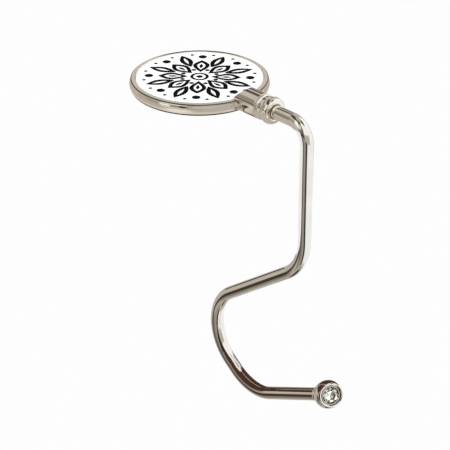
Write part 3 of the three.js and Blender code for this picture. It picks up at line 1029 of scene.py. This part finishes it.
class BAGHANGER_OT_stage(bpy.types.Operator):
    """Floor, light and camera"""

    bl_idname = "bag_hanger.stage"
    bl_label = "Stage"

    def execute(self, context):
        self.floor(context)
        self.table(context)
        self.pale_card(context)
        self.table_edge(context)
        self.surroundings(context)
        self.lamps(context)
        self.camera(context)
        context.scene.view_settings.view_transform = "Standard"
        return {"FINISHED"}

    def floor(self, context):
        """A floor that looks as white as the background, and throws light up at matt surfaces"""
        skin = bmesh.new()
        bmesh.ops.create_grid(skin, x_segments=1, y_segments=1, size=6)
        drop = context.scene.bag_hanger_stage.floor_drop
        bmesh.ops.translate(skin, vec=(0, 0, -drop), verts=skin.verts)
        nodes = finish("Pale floor")
        seen = nodes.add("ShaderNodeLightPath").outputs["Is Camera Ray"]
        plain = nodes.feed(nodes.add("ShaderNodeBsdfDiffuse"), Color=(0.9, 0.9, 0.9, 1))
        bright = nodes.feed(nodes.add("ShaderNodeEmission"), Color=BACKDROP, Strength=1.0)
        floor = placed(context, skin, "floor", nodes.either(seen, plain, bright))
        floor.visible_glossy = False
        floor.visible_transmission = False

    def table(self, context):
        """A table that only shows as reflections in metal and glass: pale on top, and brown in painted shade
        below
        """
        settings = context.scene.bag_hanger_stage
        inner = context.scene.bag_hanger_rest.disc_radius - 0.1 * MM
        top = finish("Table top")
        boards = (
            ("table top", -0.3 * MM, settings.table_reach, self.table_top(top), top),
            ("table underside", -0.6 * MM, settings.underside_reach, SHADED_WOOD, finish("Table underside")),
        )
        for name, height, reach, colour, nodes in boards:
            board = turned([(inner, height), (reach, height)], 96)
            geometry = list(board.verts) + list(board.edges) + list(board.faces)
            bmesh.ops.bisect_plane(
                board, geom=geometry, plane_co=(settings.table_edge, 0, 0), plane_no=(1, 0, 0),
                clear_outer=True,
            )
            self.glow(context, board, name, colour, nodes)

    def table_top(self, nodes):
        """The top is pale near the disc, with painted shadow close round it and below the neck, and a
        painted pool of light in one spot
        """
        x, y, _ = nodes.parts(nodes.places())
        middle = nodes.distance((0, 0, 0))
        # A painted pool of light on the table in one spot
        spot = nodes.distance((12 * MM, -23 * MM, 0))
        # Painted shadow of the neck on the table
        painted_neck_shadow = nodes.product(
            nodes.soft(nodes.maths("ABSOLUTE", y), 1, 0, 1.5 * MM, 4 * MM),
            nodes.ramp(x, 1, 0, 24 * MM, 27 * MM),
            nodes.ramp(x, 0, 1, 10 * MM, 18 * MM),
        )
        patches = (
            (nodes.soft(middle, 1, 0, 21.5 * MM, 24 * MM), (0.76, 0.73, 0.67, 1)),
            (nodes.soft(spot, 1, 0, 3 * MM, 9 * MM), (1.0, 0.98, 0.94, 1)),
            # Painted contact shadow close round the disc
            (nodes.ramp(middle, 1, 0, 20.25 * MM, 20.5 * MM), (0.04, 0.03, 0.025, 1)),
            (painted_neck_shadow, (0.06, 0.05, 0.035, 1)),
        )
        colour = (0.58, 0.55, 0.50, 1)
        for share, patch in patches:
            colour = nodes.blend(share, colour, patch)
        return colour

    def pale_card(self, context):
        """A low curved card on the table beside the disc"""
        settings = context.scene.bag_hanger_stage
        card = bmesh.new()
        ends = [card.verts.new((settings.card_radius, 0, height)) for height in (0, settings.card_height)]
        bmesh.ops.spin(
            card, geom=[*ends, card.edges.new(ends)], cent=ORIGIN, axis=UP, dvec=ORIGIN,
            angle=settings.card_sweep, steps=28,
        )
        turn = Matrix.Rotation(settings.card_start, 3, "Z")
        bmesh.ops.rotate(card, cent=ORIGIN, matrix=turn, verts=card.verts)
        nodes = finish("Pale card")
        near = nodes.ramp(nodes.parts(nodes.places())["X"], 0, 1, -9 * MM, -4 * MM)
        tone = nodes.blend(near, (0.53, 0.50, 0.44, 1), (0.86, 0.84, 0.79, 1))
        self.glow(context, card, "pale card", tone, nodes)

    def table_edge(self, context):
        """The table's edge, brightly lit in the middle, and below it to the left a dark panel of painted
        shade for metal to mirror
        """
        front = context.scene.bag_hanger_stage.table_edge
        rim = finish("Table edge")
        _, y, z = rim.parts(rim.places())
        lit = rim.maths("MAXIMUM", rim.ramp(y, 1, 0, 26 * MM, 32 * MM), rim.ramp(y, 0, 1, 62 * MM, 75 * MM))
        lit = rim.maths("MAXIMUM", rim.ramp(z, 1, 0, -33 * MM, -27 * MM), lit)
        lit = rim.product(rim.ramp(y, 0, 1, -28 * MM, -22 * MM), lit)
        edge = self.upright((front, 0, -19.2 * MM), 19 * MM, 400 * MM)
        self.glow(context, edge, "table edge", rim.blend(lit, SHADED_WOOD, (1.05, 1.1, 1.2, 1)), rim)
        # A sheet of painted shade where the space under the table lies in shadow
        dark = finish("Dark panel")
        near = dark.ramp(dark.parts(dark.places())["Y"], 0, 1, -32 * MM, -24 * MM)
        shade = dark.blend(near, (0.035, 0.03, 0.032, 1), (0.6, 0.57, 0.53, 1))
        panel = self.upright((front, -92 * MM, -66 * MM), 27 * MM, 68 * MM)
        self.glow(context, panel, "dark panel", shade, dark)

    def upright(self, middle, half_height, half_width):
        """A flat board that stands across the neck's axis"""
        board = bmesh.new()
        turn = Matrix.Rotation(QUARTER_TURN, 4, "Y") @ Matrix.Diagonal((half_height, half_width, 1, 1))
        place = Matrix.Translation(middle) @ turn
        bmesh.ops.create_grid(board, x_segments=1, y_segments=1, size=1, matrix=place)
        return board

    def glow(self, context, skin, name, colour, nodes):
        """Makes the skin a surface that lights up in reflections and is otherwise unseen"""
        light = nodes.feed(nodes.add("ShaderNodeEmission"), Color=colour, Strength=1.0)
        card = placed(context, skin, name, nodes.show(light))
        card.visible_camera = False
        card.visible_diffuse = False
        card.visible_shadow = False

    def surroundings(self, context):
        """A white tent for the camera and for matt surfaces, and a studio that bright surfaces mirror"""
        world = bpy.data.worlds.new("Studio")
        context.scene.world = world
        nodes = Nodes(world, "ShaderNodeOutputWorld")
        x, y, z = nodes.parts(nodes.add("ShaderNodeTexCoord").outputs["Generated"])
        turn = nodes.maths("DEGREES", nodes.maths("ARCTAN2", y, x))
        rise = nodes.maths("DEGREES", nodes.maths("ARCSINE", z))
        seen = opaque(WALLS)
        for card in STUDIO.values():
            across = nodes.maths("WRAP", nodes.maths("SUBTRACT", turn, card.turn), 180, -180)
            along = nodes.maths("SUBTRACT", rise, card.rise)
            shares = []
            for offset, half in ((across, card.half_width), (along, card.half_height)):
                off = nodes.maths("ABSOLUTE", offset)
                shares.append(nodes.soft(off, 1, 0, half - card.soft / 2, half + card.soft / 2))
            colour = (card.bright, card.bright * (1 - 0.45 * card.warm), card.bright * (1 - card.warm), 1)
            seen = nodes.blend(nodes.product(*shares), seen, colour)
        light = nodes.add("ShaderNodeLightPath").outputs
        matt = nodes.maths("GREATER_THAN", light["Diffuse Depth"], 0.5)
        plain = nodes.blend(matt, seen, (MATT_LIGHT, MATT_LIGHT, MATT_LIGHT, 1))
        view = nodes.blend(light["Is Camera Ray"], plain, BACKDROP)
        nodes.show(nodes.feed(nodes.add("ShaderNodeBackground"), Color=view, Strength=1.0))

    def lamps(self, context):
        """Soft lamps that face the hanger and aren't mirrored in it"""
        for name, (spot, power) in LAMPS.items():
            lamp = bpy.data.lights.new(name, "AREA")
            lamp.size = LAMP_SIZE
            lamp.energy = power
            holder = bpy.data.objects.new(name, lamp)
            holder.location = spot
            holder.rotation_euler = Vector(spot).to_track_quat("Z", "Y").to_euler()
            holder.visible_glossy = False
            context.collection.objects.link(holder)

    def camera(self, context):
        """A camera that sees the middle of the rim at its place in the picture"""
        settings = context.scene.bag_hanger_stage
        rest = context.scene.bag_hanger_rest
        turn, rise = settings.camera_turn, settings.camera_rise
        back = Vector((math.cos(turn) * math.cos(rise), -math.sin(turn) * math.cos(rise), math.sin(rise)))
        right = Vector((math.sin(turn), math.cos(turn), 0))
        up = back.cross(right)
        data = bpy.data.cameras.new("camera")
        data.sensor_width = 36
        data.lens = data.sensor_width * FOCAL_PIXELS / (2 * PICTURE_MIDDLE)
        data.clip_start = 0.01
        data.clip_end = 20
        data.dof.use_dof = False
        camera = bpy.data.objects.new("camera", data)
        context.collection.objects.link(camera)
        across, down = [(pixel - PICTURE_MIDDLE) / FOCAL_PIXELS for pixel in RIM_PIXEL]
        sight = -back + right * across - up * down
        target = Vector((0, 0, rest.pad_proud + rest.disc_height))
        place = Matrix.Translation(target - sight * settings.camera_distance)
        camera.matrix_world = place @ Matrix((right, up, back)).transposed().to_4x4()
        context.scene.camera = camera


class Card(NamedTuple):
    """A soft-edged patch of the studio, by its direction from the hanger in degrees"""

    turn: float
    half_width: float
    rise: float
    half_height: float
    soft: float
    bright: float
    warm: float


WALLS = (0.55, 0.525, 0.48)
MATT_LIGHT = 1.08
BACKDROP = (0.985, 0.985, 0.985, 1)
# Dark brown wood in painted shade, for the table's underside and the unlit parts of its edge
SHADED_WOOD = (0.078, 0.038, 0.026, 1)
LAMPS = {"key": ((-0.5, -0.7, 0.9), 6.0), "fill": ((0.9, -0.3, 0.5), 3.0)}
LAMP_SIZE = 0.6
# The picture's scale, its middle and the place of the rim's middle, in pixels
FOCAL_PIXELS = 1840.35
PICTURE_MIDDLE = 225
RIM_PIXEL = (199.56, 76.23)
STUDIO = {
    "ground": Card(0, 180, -62, 30, 20, 0.55, 0.10),
    "ground left": Card(-142, 24, -52, 12, 10, 0.30, 0.16),
    "low front": Card(-79, 24, -34, 30, 8, 0.36, 0.10),
    "low left": Card(-115, 14, -22, 13, 8, 0.16, 0.20),
    "low back": Card(165, 22, -25, 22, 10, 0.55, 0.10),
    "low side": Card(56, 86, -30, 34, 10, 1.06, -0.15),
    "post": Card(-47, 11, -34, 30, 5, 0.04, 0.3),
    "gap": Card(-137, 9, -28, 15, 8, 0.06, 0.3),
    "room left": Card(-110, 55, 18, 22, 10, 0.34, 0.20),
    "room left pale": Card(-112, 15, 15, 7, 4, 0.50, 0.14),
    "room left high": Card(-130, 60, 44, 9, 7, 0.66, 0.08),
    "ceiling": Card(-60, 140, 64, 11, 5, 0.08, 0.3),
    "lamp": Card(-100, 9.5, 34, 23, 6, 1.15, -0.1),
    "horizon left": Card(-135, 6.5, 5, 4, 4, 0.03, 0.3),
    "horizon": Card(-90, 38.5, 4, 5.5, 4, 0.04, 0.3),
    "pale": Card(-154, 10, -2, 7, 6, 0.65, 0.08),
    "window": Card(-79, 8, 32, 9, 5, 0.95, 0.0),
    "curtain": Card(-66, 8, 18, 15, 4, 0.05, 0.3),
    "front": Card(-48, 14, 12, 18, 8, 0.52, 0.10),
    "post top": Card(-57, 5, 38, 12, 4, 0.08, 0.3),
    "tent front": Card(-20, 32, 47, 26, 5, 1.15, -0.1),
    "tent front low": Card(-14, 24, 4, 17, 8, 0.58, 0.05),
    "tent side": Card(62, 48, 26, 32, 10, 1.15, -0.1),
    "room back": Card(146, 34, 18, 24, 10, 0.68, 0.10),
    "room back high": Card(162, 14, 45, 5, 5, 0.12, 0.3),
    "back horizon": Card(140, 22, 4.5, 6, 3, 0.05, 0.3),
    "back curtain": Card(169, 10, 9, 12, 4, 0.03, 0.3),
    "door": Card(139, 6, 24, 6, 3, 0.01, 0.3),
    "nadir": Card(0, 180, -88, 11, 6, 0.04, 0.2),
}

GROUPS = {
    "bag_hanger_rest": RestSizes,
    "bag_hanger_collar": CollarSizes,
    "bag_hanger_hook": HookSizes,
    "bag_hanger_ball": BallSizes,
    "bag_hanger_finishes": Finishes,
    "bag_hanger_stage": StageSettings,
}
STEPS = (
    BAGHANGER_OT_tray,
    BAGHANGER_OT_face,
    BAGHANGER_OT_pad,
    BAGHANGER_OT_collar,
    BAGHANGER_OT_wire,
    BAGHANGER_OT_ball,
    BAGHANGER_OT_stone,
    BAGHANGER_OT_inner_parts,
    BAGHANGER_OT_stage,
)


class BAGHANGER_PT_steps(bpy.types.Panel):
    """Lists the steps that build the hanger"""

    bl_label = "Bag Hanger"
    bl_idname = "BAGHANGER_PT_steps"
    bl_space_type = "VIEW_3D"
    bl_region_type = "UI"
    bl_category = "Bag Hanger"

    def draw(self, context):
        for step in STEPS:
            self.layout.operator(step.bl_idname)


def register():
    for group in GROUPS.values():
        bpy.utils.register_class(group)
    for name, group in GROUPS.items():
        setattr(bpy.types.Scene, name, PointerProperty(type=group))
    for step in STEPS:
        bpy.utils.register_class(step)
    bpy.utils.register_class(BAGHANGER_PT_steps)


def unregister():
    bpy.utils.unregister_class(BAGHANGER_PT_steps)
    for step in reversed(STEPS):
        bpy.utils.unregister_class(step)
    for name in GROUPS:
        delattr(bpy.types.Scene, name)
    for group in reversed(GROUPS.values()):
        bpy.utils.unregister_class(group)


def main():
    register()
    for step in STEPS:
        area, name = step.bl_idname.split(".")
        getattr(getattr(bpy.ops, area), name)()
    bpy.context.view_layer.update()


if __name__ == "__main__":
    main()
